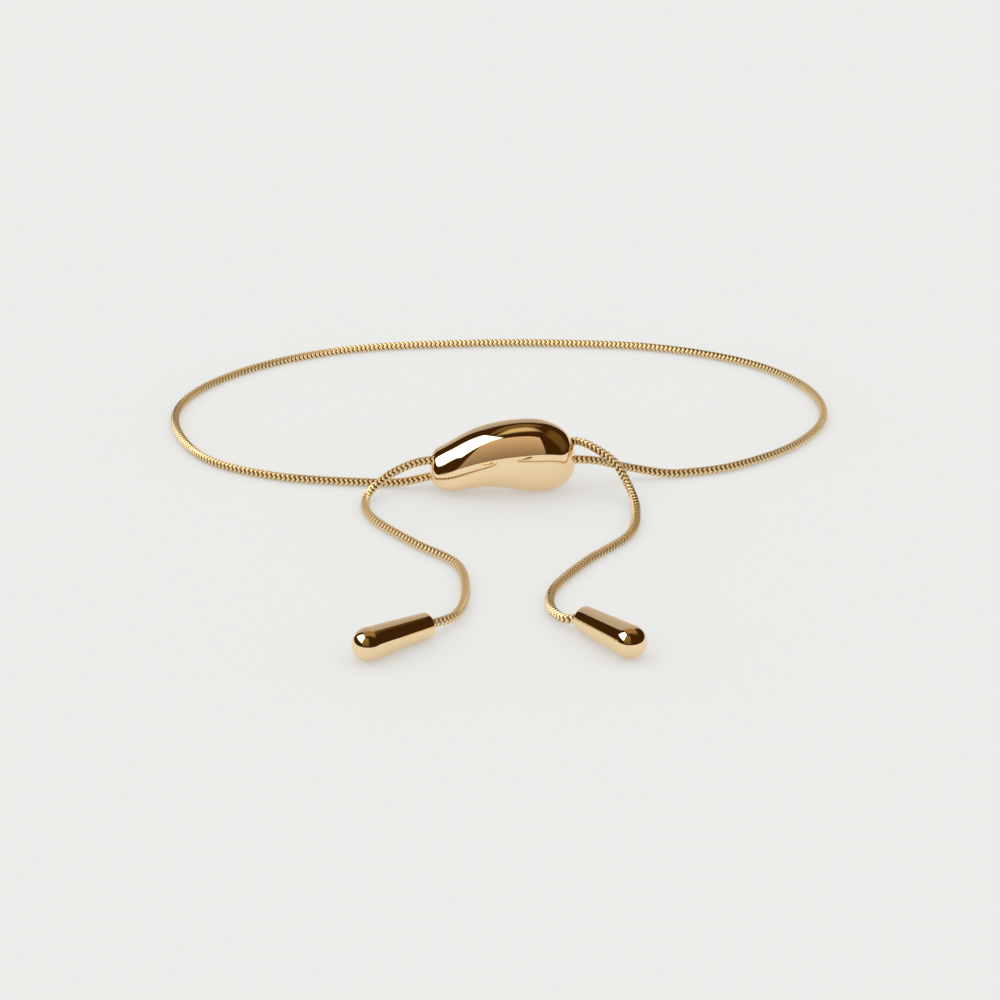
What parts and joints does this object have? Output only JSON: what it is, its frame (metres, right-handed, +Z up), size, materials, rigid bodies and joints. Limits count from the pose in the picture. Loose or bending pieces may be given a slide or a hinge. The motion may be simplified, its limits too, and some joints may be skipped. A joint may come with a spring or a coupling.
{
  "type": "bolo slider bracelet",
  "caption": "Bolo bracelet lying as taken off: a fine snake chain loops round the wrist, crosses through a polished bean-shaped slider and ends in tails with rounded drops.",
  "frame": {"origin": "centre of the base of the bounding box, on the surface that the bracelet lies on", "axes": "+X along the slider, +Y from the tails to the far side of the wrist loop, +Z up from the surface"},
  "size_m": [0.0682, 0.083, 0.0075],
  "materials": {
    "polished_gold": "mirror polish, warm yellow gold",
    "chain_gold": "bright, with fine wavy chain texture"
  },
  "bodies": {
    "root": {"slider": "polished_gold", "snake_chain": "chain_gold", "left_drop": "polished_gold", "right_drop": "polished_gold"}
  },
  "joints": []
}
